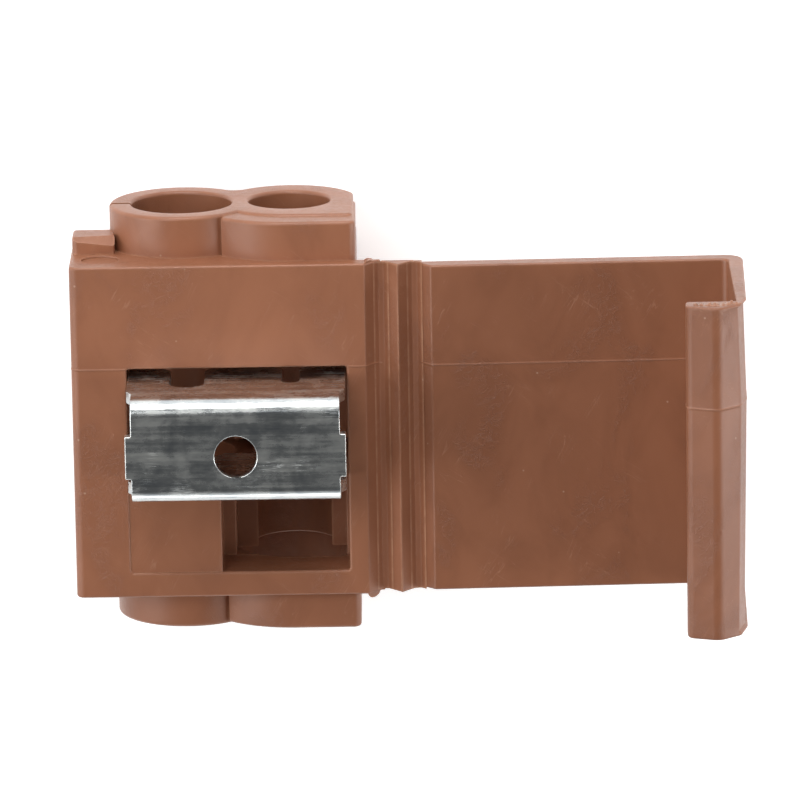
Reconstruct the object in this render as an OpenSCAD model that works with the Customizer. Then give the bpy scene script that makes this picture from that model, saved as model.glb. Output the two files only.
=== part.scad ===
// Insulation-displacement wire tap, lying on its flat back with the cover open.
// X runs across the two wire channels, Y along them, Z up out of the window.
// The origin is on the back face, under the run channel's axis, halfway along the body.

/* [Wire channels] */
// Bore for the uncut run wire
run_bore_d = 6.48; // [5.6:0.02:6.8]
// Bore for the tap wire
tap_bore_d = 5.27; // [4.4:0.01:5.5]
// Distance between the two channels' axes
channel_pitch = 7.0; // [6.9:0.05:7.4]
// How much deeper the tap channel lies than the run channel
tap_drop = 0.3; // [0:0.05:0.4]
// Wall around the run bore at the collars
run_wall = 1.46; // [1.2:0.02:1.5]
// Wall around the tap bore at the collars
tap_wall = 1.96; // [1.4:0.02:2.0]
// Blend radius in the saddle between the two lobes
saddle_r = 0.9; // [0.5:0.1:1.4]
// Width of the side-entry slit into the run channel
slit_w = 0.35; // [0.2:0.05:0.6]

/* [Housing] */
// Length of the body along the wires
body_l = 22.0; // [21:0.5:26]
// Thickness of the body from back face to front face
body_d = 12.0; // [11.8:0.1:12.6]
// Distance from the left side to the run channel's axis
side_to_run = 7.15; // [7:0.05:7.6]
// Distance from the left side to the right side
body_w = 18.45; // [18.3:0.05:19.4]
// Wall between the run bore and the back face
back_wall = 1.71; // [1.6:0.01:1.8]
// How far the lobed collar stands out of each end
collar_l = 2.7; // [1.5:0.1:4]
// Radius of the front left edge
front_edge_r = 0.55; // [0.3:0.05:0.8]
// Radius of the back right edge
back_edge_r = 0.8; // [0.4:0.1:1.2]

/* [Collar front plate] */
// Depth of the plate's front behind the front face
plate_depth = 1.1; // [0.95:0.05:1.3]
// How far the plate's end lies below the end of the ring
plate_drop = 0.15; // [0.05:0.05:0.4]
// Distance from the run axis to the crease beside the plate
crease_x = 2.66; // [2.5:0.02:3]
// Depth of the ring's squared front corner behind the front face
ring_front_depth = 2.7; // [2.4:0.05:3]

/* [Window] */
// Width of the window in the front face
window_w = 14.2; // [14:0.05:14.4]
// Length of the window along the wires
window_l = 13.6; // [13.2:0.1:14]
// Distance from the body's top end to the window
window_top = 6.77; // [6.5:0.05:7]
// Distance from the left side to the window
window_left = 3.57; // [3.4:0.01:3.7]
// Depth of the pocket behind the front face
pocket_depth = 6.3; // [6:0.05:6.5]
// Width of the closed field beside the lower cavity
field_w = 5.93; // [5.6:0.05:6.2]
// Depth of the closed field's step
field_step = 0.12; // [0.08:0.02:0.3]
// Depth of the lower cavity's ledge
ledge_depth = 4.3; // [4:0.1:4.6]
// Width of the lower cavity's ledge
ledge_w = 0.85; // [0.6:0.05:1.1]
// Thickness of the back under the leg slots
leg_slot_floor = 1.65; // [1.4:0.05:1.8]
// Radius of the wide end of the tap channel
well_r = 3.85; // [3.5:0.05:4]

/* [Contact] */
// Thickness of the contact's strip
contact_t = 0.8; // [0.6:0.05:0.9]
// Height of the folded contact across its legs
contact_h = 6.73; // [6.5:0.01:6.9]
// Space left under the tips of the legs once the base is flush
leg_tip_gap = 0.35; // [0.2:0.05:0.6]
// Clearance of each leg's edges in the window
leg_edge_gap = 0.1; // [0.08:0.01:0.2]
// Clearance of the base's ears in the window
ear_gap = 0.05; // [0.03:0.01:0.07]
// Clearance of the base above and below the ears
neck_gap = 0.425; // [0.3:0.025:0.6]
// Length of the plain legs' sloping shoulders below the base
shoulder_l = 0.7; // [0.4:0.1:1]
// Distance from the front of the base to the shoulders
shoulder_depth = 2.3; // [2:0.1:2.6]
// Length of each ear
ear_l = 2.8; // [2.2:0.1:3.2]
// How far the hole and the ears sit below the middle of the base
ear_drop = 0.3; // [0:0.05:0.4]
// Hole in the base
contact_hole_d = 2.7; // [2.2:0.1:3.2]
// Outer bend radius
bend_r = 1.0; // [0.9:0.05:1.3]
// Width of the slot that bites the run wire
run_slot_w = 2.2; // [1.6:0.1:2.6]
// Width of the slot that bites the tap wire
tap_slot_w = 1.13; // [0.8:0.01:1.4]
// Sideways offset of the run slot from the run channel's axis
run_slot_offset = 0.35; // [0:0.05:0.4]
// How far the base stands out of the window before it is pressed home
contact_proud = 7.1; // [6.8:0.1:7.2]
// Clearance of the contact in the pocket and the leg slots
contact_gap = 0.08; // [0.04:0.01:0.12]

/* [Living hinge] */
// Thickness of the flange, the ridge strip and the cover's panel
panel_t = 1.3; // [1.1:0.05:1.5]
// Thickness of the web at the bottom of each groove
web_t = 0.3; // [0.2:0.05:0.4]
// Length of the flange past the body's right side
flange_w = 0.7; // [0.5:0.05:0.9]
// Width of a groove's sloping flank
flank_w = 0.86; // [0.84:0.01:0.95]
// Width of a groove's flat bottom
groove_w = 0.4; // [0.36:0.02:0.5]
// Distance between the two fold lines
fold_pitch = 2.155; // [2.14:0.005:2.3]
// Gap at each fold line between the pieces on its two sides
fold_gap = 0.04; // [0.02:0.01:0.06]
// How much shorter than the body the ridge strip is
strip_short = 0.15; // [0.05:0.05:0.4]

/* [Cover] */
// How much shorter than the body the cover is
cover_short = 0.4; // [0.2:0.05:0.8]
// Backward lean of the open cover's panel in degrees
panel_lean = 2; // [1:0.1:2]
// Clearance between the closed cover's side wall and the body
side_gap = 0.13; // [0.08:0.01:0.2]
// Clearance between the closed cover's hook and the ledge behind the body
hook_gap = 0.14; // [0.1:0.01:0.25]
// Thickness of the side wall at its root
side_wall_t = 1.0; // [0.8:0.05:1.4]
// How much the side wall's outer face tapers towards the hook
side_taper = 0.32; // [0.1:0.02:0.36]
// How far the hook reaches in from the side wall
hook_reach = 3.2; // [2.6:0.05:3.4]
// Thickness of the hook
hook_t = 2.1; // [1.6:0.1:2.4]
// Step of the ledge for the hook above the back face
ledge_step = 1.1; // [0.9:0.05:1.4]
// Outer radius of the cover's corner
cover_corner_r = 1.2; // [0.8:0.1:1.4]

/* [End face details] */
// Length of the small lugs on the end faces
lug_l = 1.1; // [0.6:0.1:1.5]
// Width of the lugs from the left side
lug_w = 2.6; // [2.2:0.1:2.8]
// Depth of a lug's front behind the front face
lug_depth = 3.85; // [3.4:0.05:4]
// Thickness of the lugs
lug_t = 2.55; // [1.8:0.05:2.6]
// Diameter of the round dimple in the top end face
dimple_d = 2.4; // [1.8:0.1:2.6]
// Depth of the dimple
dimple_depth = 0.15; // [0.1:0.05:0.3]
// Radius of the nib at the flange's corners
nib_r = 0.42; // [0.3:0.02:0.5]

/* [Hidden] */
$fn = 96;
arc_steps = 12;
eps = 0.01;

run_r = run_bore_d / 2;
tap_r = tap_bore_d / 2;
front_z = body_d;
run_z = back_wall + run_r;
tap_z = run_z - tap_drop;
left_x = -side_to_run;
right_x = left_x + body_w;
half_l = body_l / 2;
end_y = half_l + collar_l;

run_lobe_r = run_r + run_wall;
tap_lobe_r = tap_r + tap_wall;
saddle = apex([0, run_z], run_lobe_r + saddle_r, [channel_pitch, tap_z], tap_lobe_r + saddle_r);
ring_right_x = right_x - 0.15;
ring_front_z = front_z - ring_front_depth;
ring_corner_r = 0.5;
plate_front_z = front_z - plate_depth;
plate_r = plate_front_z - tap_z;

window_x0 = left_x + window_left;
window_x1 = window_x0 + window_w;
window_y1 = half_l - window_top;
window_y0 = window_y1 - window_l;
field_x1 = window_x0 + field_w;
deep_x0 = field_x1 + ledge_w;
deep_x1 = window_x1 - 0.2;

contact_x = window_x0 + window_w / 2;
leg_w = window_w - 2 * leg_edge_gap;
ear_w = window_w - 2 * ear_gap;
neck_w = window_w - 2 * neck_gap;
contact_top_y = window_y1 - 0.44;
contact_y = contact_top_y - contact_h / 2;
pocket_y0 = contact_top_y - contact_h - contact_gap;
contact_front_z = front_z + contact_proud;
leg_l = body_d - leg_slot_floor - leg_tip_gap;
tip_z = contact_front_z - leg_l;
run_slot_end = 3.95;
tap_slot_end = 4.85;
funnel_l = 1.5;
funnel_w = 1.1;
shoulder_z1 = contact_front_z - shoulder_depth;
shoulder_z0 = shoulder_z1 - shoulder_l;

groove_z = front_z - panel_t + web_t;
panel_back_z = front_z - panel_t;
flange_x = right_x + flange_w - 0.15;
fold1_x = flange_x + flank_w + groove_w / 2;
fold2_x = fold1_x + fold_pitch;
ridge_half = (fold_pitch - groove_w - 2 * flank_w) / 2 + 0.11;
ridge_z = front_z - 0.05;
ridge_x = (fold1_x + fold2_x) / 2;

cover_x = fold2_x + groove_w / 2 + flank_w;
side_inner_x = fold2_x + fold1_x - left_x + side_gap;
side_outer_x = side_inner_x + side_wall_t;
lean_slope = tan(panel_lean);
panel_front_z = ridge_z;
root_z = panel_front_z - lean_slope * (side_inner_x - cover_x);
corner_z = panel_back_z - lean_slope * (side_outer_x - fold2_x);
closed_gap = fold_pitch - 2 * (front_z - groove_z);
catch_z = front_z + body_d - ledge_step + hook_gap + closed_gap;
hook_x = side_inner_x - hook_reach;
hook_tip_z = catch_z + hook_t;
cover_half_l = half_l - cover_short / 2;
strip_half_l = half_l - strip_short / 2;
ledge_x = fold1_x + fold2_x - hook_x + 0.2;

dimple_x = left_x + 1.95;
dimple_z = front_z - 2.3;

// The far corner of a triangle on the centres a and b with sides ra and rb, on the back's side
function apex(a, ra, b, rb) =
    let (d = norm(b - a), u = (b - a) / d, s = (d * d + ra * ra - rb * rb) / (2 * d))
    a + u * s + [u.y, -u.x] * sqrt(ra * ra - s * s);

// The points of one outline corner b, rounded to radius r between its neighbours a and c
function corner(a, b, c, r) =
    let (u = (a - b) / norm(a - b), v = (c - b) / norm(c - b), half = acos(u * v) / 2,
         centre = b + (u + v) / norm(u + v) * r / sin(half),
         start = b + u * r / tan(half) - centre, side = u.x * v.y - u.y * v.x,
         sweep = (side > 0 ? -1 : 1) * (180 - 2 * half))
    [for (i = [0:arc_steps]) let (t = sweep * i / arc_steps)
        centre + [start.x * cos(t) - start.y * sin(t), start.x * sin(t) + start.y * cos(t)]];

// An outline from corners [x, y, radius]; a radius of 0 leaves the corner sharp
function rounded(p) = [for (i = [0:len(p) - 1])
    let (a = p[(i + len(p) - 1) % len(p)], b = p[i], c = p[(i + 1) % len(p)])
    each b.z > 0 ? corner([a.x, a.y], [b.x, b.y], [c.x, c.y], b.z) : [[b.x, b.y]]];

// Extrudes an outline drawn in X and Z along Y, from y0 to y1
module along(y0, y1) {
    translate([0, y1, 0]) rotate([90, 0, 0]) linear_extrude(y1 - y0) children();
}

// Extrudes an outline drawn in Y and Z along X, from x0 to x1
module across(x0, x1) {
    translate([x0, 0, 0]) rotate([90, 0, 90]) linear_extrude(x1 - x0) children();
}

// A box between two corners
module block(a, b) {
    translate(a) cube(b - a);
}

// Outline of the body, with the ledge that the closed cover's hook grips
module body_outline() {
    polygon(rounded([
        [left_x, front_z, front_edge_r],
        [right_x, front_z, 0],
        [right_x, 0, back_edge_r],
        [ledge_x, 0, 0.3],
        [ledge_x, ledge_step, 0.15],
        [left_x, ledge_step, 0.4]]));
}

// Outline of the two blended lobes around the channels
module ring_outline() {
    difference() {
        union() {
            translate([0, run_z]) circle(run_lobe_r);
            intersection() {
                translate([channel_pitch, tap_z]) circle(tap_lobe_r);
                translate([0, tap_z - tap_lobe_r]) square([ring_right_x, 2 * tap_lobe_r]);
            }
            polygon(rounded([
                [channel_pitch, tap_z, 0],
                [channel_pitch, ring_front_z, 0],
                [ring_right_x, ring_front_z, ring_corner_r],
                [ring_right_x, tap_z, 0]]));
            polygon([[0, run_z], saddle, [channel_pitch, tap_z]]);
        }
        translate(saddle) circle(saddle_r);
    }
}

// Outline of the plate in front of the tap lobe
module plate_outline() {
    intersection() {
        translate([channel_pitch, tap_z]) circle(plate_r);
        translate([crease_x, tap_z]) square([channel_pitch - crease_x, plate_r]);
    }
    polygon(rounded([
        [channel_pitch - eps, tap_z, 0],
        [channel_pitch - eps, plate_front_z, 0],
        [right_x, plate_front_z, ring_corner_r],
        [right_x, tap_z, 0]]));
}

// Outline of the wide end of the tap channel: round at the back, square at the front right
module well_outline() {
    intersection() {
        union() {
            translate([channel_pitch, tap_z]) circle(well_r);
            translate([channel_pitch, tap_z]) square([well_r, well_r]);
        }
        translate([channel_pitch - well_r, tap_z - well_r])
            square([deep_x1 - channel_pitch + well_r, 2 * well_r]);
    }
}

// Outline of the flange, down to the bottom of the first groove
module flange_outline() {
    polygon([
        [right_x - 1, front_z],
        [flange_x, front_z],
        [flange_x + flank_w, groove_z],
        [fold1_x - fold_gap / 2, groove_z],
        [fold1_x - fold_gap / 2, panel_back_z],
        [right_x - 1, panel_back_z]]);
}

// One collar, at the end on the given side of the body
module collar(side) {
    mirror([0, side < 0 ? 1 : 0, 0]) {
        along(half_l - eps, end_y) ring_outline();
        along(half_l - eps, end_y - plate_drop) plate_outline();
    }
}

// Small lug on the left of an end face, with a sloping facet towards the collar
module lug(side) {
    lug_x1 = left_x + 0.1 + lug_w;
    lug_z1 = front_z - lug_depth;
    lug_z0 = lug_z1 - lug_t;
    mirror([0, side < 0 ? 1 : 0, 0])
        difference() {
            along(half_l - eps, half_l + lug_l)
                polygon(rounded([
                    [left_x + 0.1, lug_z0, 0.3],
                    [left_x + 0.1, lug_z1, 0.4],
                    [lug_x1, lug_z1, 0],
                    [lug_x1, lug_z0, 0]]));
            // the facet drops towards the collar
            translate([lug_x1, half_l + lug_l, lug_z0 + 0.5 * lug_t])
                rotate([0, 0, 14])
                block([-0.72 * lug_w, 0, -0.45 * lug_t], [1, 1, 0.3 * lug_t]);
        }
}

// Rounded nib on each end of the flange, beside the first groove
module nibs() {
    for (nib = [[-1, 0.1], [1, 0.3]])
        intersection() {
            along(-half_l - nib_r, half_l + nib_r) flange_outline();
            translate([flange_x + 0.3, nib[0] * (half_l - nib[1]), panel_back_z])
                cylinder(r = nib_r, h = panel_t);
        }
}

// Everything that is cut out of the housing for the wires
module channels() {
    along(-end_y - 1, end_y + 1) translate([0, run_z]) circle(run_r);
    along(-end_y - 1, end_y + 1) translate([channel_pitch, tap_z]) circle(tap_r);
    along(-end_y - 1, window_y0 + eps) well_outline();
    block([left_x - 1, -end_y - 1, run_z], [0, end_y + 1, run_z + slit_w]);
}

// Everything that is cut out of the front face for the contact
module window() {
    block([window_x0, pocket_y0, front_z - pocket_depth], [window_x1, window_y1, front_z + 1]);
    block([window_x0, window_y0, front_z - field_step], [field_x1 + eps, pocket_y0 + eps, front_z + 1]);
    block([field_x1, window_y0, front_z - ledge_depth], [window_x1, pocket_y0 + eps, front_z + 1]);
    block([deep_x0, window_y0, front_z - pocket_depth], [deep_x1, pocket_y0 + eps, front_z]);
    for (leg_y = [contact_top_y - contact_t, contact_top_y - contact_h])
        block([window_x0, leg_y - contact_gap, leg_slot_floor],
              [window_x1, leg_y + contact_t + contact_gap, front_z - pocket_depth + eps]);
}

module housing() {
    color([0.61, 0.42, 0.31])
        difference() {
            union() {
                along(-half_l, half_l) body_outline();
                along(-half_l, half_l) flange_outline();
                for (side = [-1, 1]) {
                    collar(side);
                    lug(side);
                }
                nibs();
            }
            channels();
            window();
            translate([dimple_x, half_l - dimple_depth, dimple_z])
                rotate([-90, 0, 0]) cylinder(d = dimple_d, h = 1);
        }
}

// The ridge between the two living hinges
module hinge_strip() {
    color([0.58, 0.39, 0.28])
        along(-strip_half_l, strip_half_l)
            polygon([
                [fold1_x + fold_gap / 2, panel_back_z],
                [fold1_x + fold_gap / 2, groove_z],
                [fold1_x + groove_w / 2, groove_z],
                [ridge_x - ridge_half, ridge_z],
                [ridge_x + ridge_half, ridge_z],
                [fold2_x - groove_w / 2, groove_z],
                [fold2_x - fold_gap / 2, groove_z],
                [fold2_x - fold_gap / 2, panel_back_z]]);
}

// Wrap-around cover: leaning panel, side wall and snap hook in one section
module cover() {
    color([0.61, 0.42, 0.31])
        along(-cover_half_l, cover_half_l)
            polygon(rounded([
                [fold2_x + fold_gap / 2, panel_back_z, 0],
                [fold2_x + fold_gap / 2, groove_z, 0],
                [fold2_x + groove_w / 2, groove_z, 0],
                [cover_x, panel_front_z, 0],
                [side_inner_x, root_z, 0.45],
                [side_inner_x, catch_z, 0.2],
                [hook_x, catch_z, 0.3],
                [hook_x, hook_tip_z - 0.75, 0.6],
                [hook_x + 2, hook_tip_z, 0.8],
                [side_outer_x - 0.75, hook_tip_z - 1.25, 0.6],
                [side_outer_x - side_taper, catch_z - 0.9, 0.8],
                [side_outer_x, corner_z, cover_corner_r]]));
}

// Side view of the U: two legs and a base, bent from one strip
module u_outline() {
    y0 = contact_y - contact_h / 2;
    y1 = contact_y + contact_h / 2;
    inner_r = bend_r - contact_t + 0.05;
    polygon(rounded([
        [y0, tip_z, 0],
        [y0, contact_front_z, bend_r],
        [y1, contact_front_z, bend_r],
        [y1, tip_z, 0],
        [y1 - contact_t, tip_z, 0],
        [y1 - contact_t, contact_front_z - contact_t, inner_r],
        [y0 + contact_t, contact_front_z - contact_t, inner_r],
        [y0 + contact_t, tip_z, 0]]));
}

// Slot that bites a wire: round closed end, parallel sides and a funnel at the tips
module bite_slot(x, w, end) {
    translate([x, 0]) {
        translate([0, contact_front_z - end - w / 2]) circle(w / 2);
        translate([-w / 2, tip_z - 1]) square([w, contact_front_z - end - w / 2 - tip_z + 1]);
        polygon([
            [-w / 2, tip_z + funnel_l],
            [w / 2, tip_z + funnel_l],
            [w / 2 + funnel_w, tip_z - eps],
            [-w / 2 - funnel_w, tip_z - eps]]);
    }
}

// Material taken off one side of the strip between its leg and its ear
module shoulder_outline() {
    polygon([
        [neck_w / 2, contact_front_z + 1],
        [neck_w / 2, shoulder_z1],
        [leg_w / 2, shoulder_z0],
        [leg_w / 2 + 1, shoulder_z0],
        [leg_w / 2 + 1, contact_front_z + 1]]);
}

module contact() {
    y0 = contact_y - contact_h;
    y1 = contact_y + contact_h;
    ear_y = contact_y - ear_drop;
    color([0.72, 0.73, 0.74])
        difference() {
            across(contact_x - ear_w / 2, contact_x + ear_w / 2) u_outline();
            along(y0, y1) {
                bite_slot(run_slot_offset, run_slot_w, run_slot_end);
                bite_slot(channel_pitch, tap_slot_w, tap_slot_end);
            }
            translate([contact_x, ear_y, contact_front_z - 2 * contact_t])
                cylinder(d = contact_hole_d, h = 3 * contact_t);
            for (side = [0, 1])
                translate([contact_x, 0, 0]) mirror([side, 0, 0]) {
                    along(y0, ear_y - ear_l / 2) shoulder_outline();
                    along(ear_y + ear_l / 2, y1) shoulder_outline();
                    block([leg_w / 2, y0, tip_z - 1], [leg_w / 2 + 1, y1, shoulder_z0 + eps]);
                }
        }
}

housing();
hinge_strip();
cover();
contact();
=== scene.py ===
"""Looks of an insulation-displacement wire tap, lying on its back with the snap cover open.

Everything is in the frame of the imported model: X across the two wire channels towards the open
cover, Y along the wires and Z up out of the window. Sizes in the classes are in millimetres, and
put_mesh turns them into metres.
"""

import logging
import math
from dataclasses import dataclass
from enum import Enum

import bmesh
import bpy
import numpy as np
from mathutils import Matrix, Vector

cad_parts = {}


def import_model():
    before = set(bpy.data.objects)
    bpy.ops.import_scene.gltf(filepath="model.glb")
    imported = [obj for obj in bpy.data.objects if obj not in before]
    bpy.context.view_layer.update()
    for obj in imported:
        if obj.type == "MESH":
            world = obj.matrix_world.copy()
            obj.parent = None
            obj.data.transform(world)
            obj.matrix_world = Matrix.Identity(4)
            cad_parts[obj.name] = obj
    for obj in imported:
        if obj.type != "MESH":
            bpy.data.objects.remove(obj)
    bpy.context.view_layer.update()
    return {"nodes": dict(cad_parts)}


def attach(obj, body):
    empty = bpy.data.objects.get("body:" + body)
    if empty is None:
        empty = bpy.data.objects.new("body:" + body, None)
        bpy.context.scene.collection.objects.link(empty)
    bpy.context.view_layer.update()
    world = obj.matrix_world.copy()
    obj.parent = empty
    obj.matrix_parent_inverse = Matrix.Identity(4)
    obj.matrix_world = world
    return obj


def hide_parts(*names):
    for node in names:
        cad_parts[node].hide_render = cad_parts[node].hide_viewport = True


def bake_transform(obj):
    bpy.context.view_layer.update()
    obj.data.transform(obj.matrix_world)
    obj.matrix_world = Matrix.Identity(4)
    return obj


log = logging.getLogger("wire_tap")

MM = 0.001
# The parting line's bead: its place along Y, its width and the stations that carry it.
PARTING_Y = 4.23
BEAD_WIDTH = 0.05
BEAD_STATIONS = PARTING_Y + np.linspace(-0.16, 0.16, 9)

Nodes = bpy.types.NodeTree
Socket = bpy.types.NodeSocket
Colour = tuple[float, float, float]


# ---------------------------------------------------------------- meshes


def put_mesh(name: str, points: np.ndarray, faces: list[list[int]], scale: float = MM) -> bpy.types.Object:
    """Makes an object from points and faces.

    Args:
        name: The piece's name.
        points: Corner positions in millimetres, one row each.
        faces: Corner numbers of each face.
        scale: What the positions are multiplied by; 1 keeps a shape that is still to be joined.

    Returns:
        The new object, at the origin.
    """
    mesh = bpy.data.meshes.new(name)
    mesh.from_pydata((np.asarray(points, float).reshape(-1, 3) * scale).tolist(), [], faces)
    mesh.shade_smooth()
    piece = bpy.data.objects.new(name, mesh)
    bpy.context.scene.collection.objects.link(piece)
    return piece


def finish_shading(piece: bpy.types.Object, smooth_below: float = 32.0) -> None:
    """Shades bends under smooth_below degrees smooth, and keeps large flat faces flat beside them."""
    piece.data.shade_smooth()
    piece.data.set_sharp_from_angle(angle=math.radians(smooth_below))
    flat = piece.modifiers.new("flat faces stay flat", "WEIGHTED_NORMAL")
    flat.mode = "FACE_AREA_WITH_ANGLE"
    flat.weight = 60
    flat.keep_sharp = True


def grid_faces(rows: int, columns: int, closed: bool) -> list[list[int]]:
    """Quads between neighbouring rows of a grid of points.

    Args:
        rows: Number of rows, each one station of the sweep.
        columns: Points in a row.
        closed: Whether a row's last point joins its first.

    Returns:
        The quads, as lists of point numbers counted row by row.
    """
    spans = columns if closed else columns - 1
    r, c = np.meshgrid(np.arange(rows - 1), np.arange(spans), indexing="ij")
    a, b = r * columns + c, r * columns + (c + 1) % columns
    return np.stack([a, b, b + columns, a + columns], -1).reshape(-1, 4).tolist()


def rounded_outline(corners: list[tuple[float, float, float]], steps: int = 8) -> np.ndarray:
    """A closed outline whose corners are arcs.

    Each corner b between neighbours a and c gets an arc of its radius that touches both sides: the
    centre lies on the bisector at radius / sin(half the corner's angle), and the arc's points are
    the centre plus the radius turned evenly from one touching point to the other.

    Args:
        corners: x, z and radius of each corner, in order.
        steps: Spans in each arc.

    Returns:
        The outline's points, one row each.
    """
    out = []
    count = len(corners)
    for i, (x, z, radius) in enumerate(corners):
        b = np.array([x, z])
        if radius <= 0:
            out.append(b[None])
            continue
        a, c = (np.array(corners[(i + s) % count][:2]) for s in (-1, 1))
        u, v = ((p - b) / np.linalg.norm(p - b) for p in (a, c))
        half = math.acos(float(np.clip(u @ v, -1, 1))) / 2
        centre = b + (u + v) / np.linalg.norm(u + v) * radius / math.sin(half)
        first = b + u * radius / math.tan(half) - centre
        turn = -math.copysign(math.pi - 2 * half, u[0] * v[1] - u[1] * v[0])
        t = np.linspace(0, turn, steps + 1)
        out.append(centre + np.stack([first[0] * np.cos(t) - first[1] * np.sin(t),
                                      first[0] * np.sin(t) + first[1] * np.cos(t)], -1))
    return np.concatenate(out)


def arc(centre: tuple[float, float], radius: float, first: float, last: float, spans: int) -> np.ndarray:
    """Points centre + radius * (cos t, sin t) for t from first to last, in degrees."""
    t = np.radians(np.linspace(first, last, spans + 1))
    return np.array(centre) + radius * np.stack([np.cos(t), np.sin(t)], -1)


def third_corner(a: np.ndarray, side_a: float, b: np.ndarray, side_b: float, over: bool) -> np.ndarray:
    """The corner of a triangle on a and b that is side_a from a and side_b from b.

    With d the length of ab, its foot lies (d^2 + side_a^2 - side_b^2) / 2d along ab, and its height
    follows from Pythagoras; over picks the side left of the way from a to b.
    """
    d = float(np.linalg.norm(b - a))
    u = (b - a) / d
    foot = (d * d + side_a ** 2 - side_b ** 2) / (2 * d)
    height = math.sqrt(side_a ** 2 - foot ** 2) * (1 if over else -1)
    return a + u * foot + np.array([-u[1], u[0]]) * height


def bearing(centre: np.ndarray, point: np.ndarray) -> float:
    """Direction from centre to point, in degrees."""
    return math.degrees(math.atan2(point[1] - centre[1], point[0] - centre[0]))


def outward(outline: np.ndarray) -> np.ndarray:
    """Normals of a closed outline that runs left-handed round its inside.

    A point's normal is the mean of its two sides' unit normals, lengthened so that both sides move
    by the same distance: divided by its own share along either side's normal, at least one half.
    """
    ahead = np.roll(outline, -1, 0) - outline
    ahead = ahead / np.maximum(np.linalg.norm(ahead, axis=1, keepdims=True), 1e-9)
    side = np.stack([ahead[:, 1], -ahead[:, 0]], -1)
    mean = side + np.roll(side, 1, 0)
    mean = mean / np.maximum(np.linalg.norm(mean, axis=1, keepdims=True), 1e-9)
    return mean / np.maximum(np.sum(mean * side, -1, keepdims=True), 0.5)


class Way(Enum):
    """The axis that a sweep follows, with the places of the outline's two coordinates and its own."""

    X = (1, 2, 0)
    Y = (0, 2, 1)
    Z = (0, 1, 2)


@dataclass(frozen=True)
class End:
    """One end of a sweep.

    Attributes:
        at: Where it is on the axis.
        round: Radius that rounds the rim inwards.
        flare: Radius that opens a cutter's mouth at this place.
        past: How far a cutter goes on past its mouth.
    """

    at: float
    round: float = 0.0
    flare: float = 0.0
    past: float = 0.0

    def stations(self, sign: int, spans: int = 5) -> tuple[np.ndarray, np.ndarray]:
        """Stations from the inside out, and how far the outline stands out there.

        A rounded rim follows a quarter circle: back by round * (1 - cos t) and in by
        round * (1 - sin t). A flare follows one the other way: back by flare * (1 - sin t) and out
        by flare * (1 - cos t), and goes straight on past the mouth.

        Args:
            sign: 1 for the high end and -1 for the low one.
            spans: Spans in the arc.

        Returns:
            Places on the axis, and offsets.
        """
        t = np.linspace(0, math.pi / 2, spans + 1)
        if self.round > 0:
            place = self.at - sign * self.round * (1 - np.cos(t[::-1]))
            return place, -self.round * (1 - np.sin(t[::-1]))
        if self.flare > 0:
            place = np.append(self.at - sign * self.flare * (1 - np.sin(t)), self.at + sign * self.past)
            return place, np.append(self.flare * (1 - np.cos(t)), self.flare)
        return np.array([self.at + sign * self.past]), np.zeros(1)


def sweep(name: str, outline: np.ndarray, way: Way, low: End, high: End, share: np.ndarray | None = None,
          extra: tuple[np.ndarray, np.ndarray] | None = None, scale: float = 1.0) -> bpy.types.Object:
    """Carries a closed outline along an axis and closes both ends.

    Point (i, j) is outline[j] + (rim[i] * share[j] + more[i, j]) * normal[j] at station i.

    Args:
        name: The piece's name.
        outline: The outline's points in the plane across the axis.
        way: The axis.
        low: The end at the axis's low side.
        high: The end at its high side.
        share: How much of the rim's offset each point takes, all of it by default.
        extra: Further stations between the ends, and a function's values there: the offset of each
            point at each of them. Its stations are added to the rims' stations.
        scale: What positions are multiplied by.

    Returns:
        The new object.
    """
    x, z = outline[:, 0], outline[:, 1]
    flip = float(np.sum(x * np.roll(z, -1) - np.roll(x, -1) * z)) < 0
    if flip:
        outline = outline[::-1]
        share = None if share is None else share[::-1]
    low_at, low_off = low.stations(-1)
    high_at, high_off = high.stations(1)
    at = np.concatenate([low_at[::-1], high_at])
    rim = np.concatenate([low_off[::-1], high_off])
    offset = rim[:, None] * (np.ones(len(outline)) if share is None else share)[None]
    if extra is not None:
        more = extra[1][:, ::-1] if flip else extra[1]
        at, offset = np.concatenate([at, extra[0]]), np.concatenate([offset, more])
        order = np.argsort(at, kind="stable")
        at, offset = at[order], offset[order]
    section = outline[None] + offset[..., None] * outward(outline)[None]
    points = np.empty((len(at), len(outline), 3))
    u, v, w = way.value
    points[..., u], points[..., v], points[..., w] = section[..., 0], section[..., 1], at[:, None]
    count = len(outline)
    faces = grid_faces(len(at), count, True)
    faces += [list(range(count))[::-1], [(len(at) - 1) * count + j for j in range(count)]]
    if way is Way.Y:
        faces = [face[::-1] for face in faces]
    return put_mesh(name, points, faces, scale)


def combine(base: bpy.types.Object, others: list[bpy.types.Object], cut: bool) -> None:
    """Joins shapes to a base, or cuts them out of it, and removes them."""
    for other in others:
        step = base.modifiers.new(other.name, "BOOLEAN")
        step.operation = "DIFFERENCE" if cut else "UNION"
        step.solver = "MANIFOLD"
        step.object = other
    bpy.context.view_layer.update()
    mesh = bpy.data.meshes.new_from_object(base.evaluated_get(bpy.context.evaluated_depsgraph_get()))
    base.modifiers.clear()
    base.data = mesh
    for other in others:
        bpy.data.objects.remove(other)


def settle(piece: bpy.types.Object, merge: float = 0.002) -> None:
    """Merges a joined shape's doubles, makes its flat faces whole and scales it to metres."""
    work = bmesh.new()
    work.from_mesh(piece.data)
    bmesh.ops.remove_doubles(work, verts=work.verts, dist=merge)
    bmesh.ops.dissolve_degenerate(work, edges=work.edges, dist=merge)
    bmesh.ops.dissolve_limit(work, angle_limit=math.radians(0.3), verts=work.verts, edges=work.edges)
    bmesh.ops.triangulate(work, faces=[f for f in work.faces if len(f.verts) > 4])
    work.to_mesh(piece.data)
    work.free()
    piece.data.transform(Matrix.Scale(MM, 4))


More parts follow.
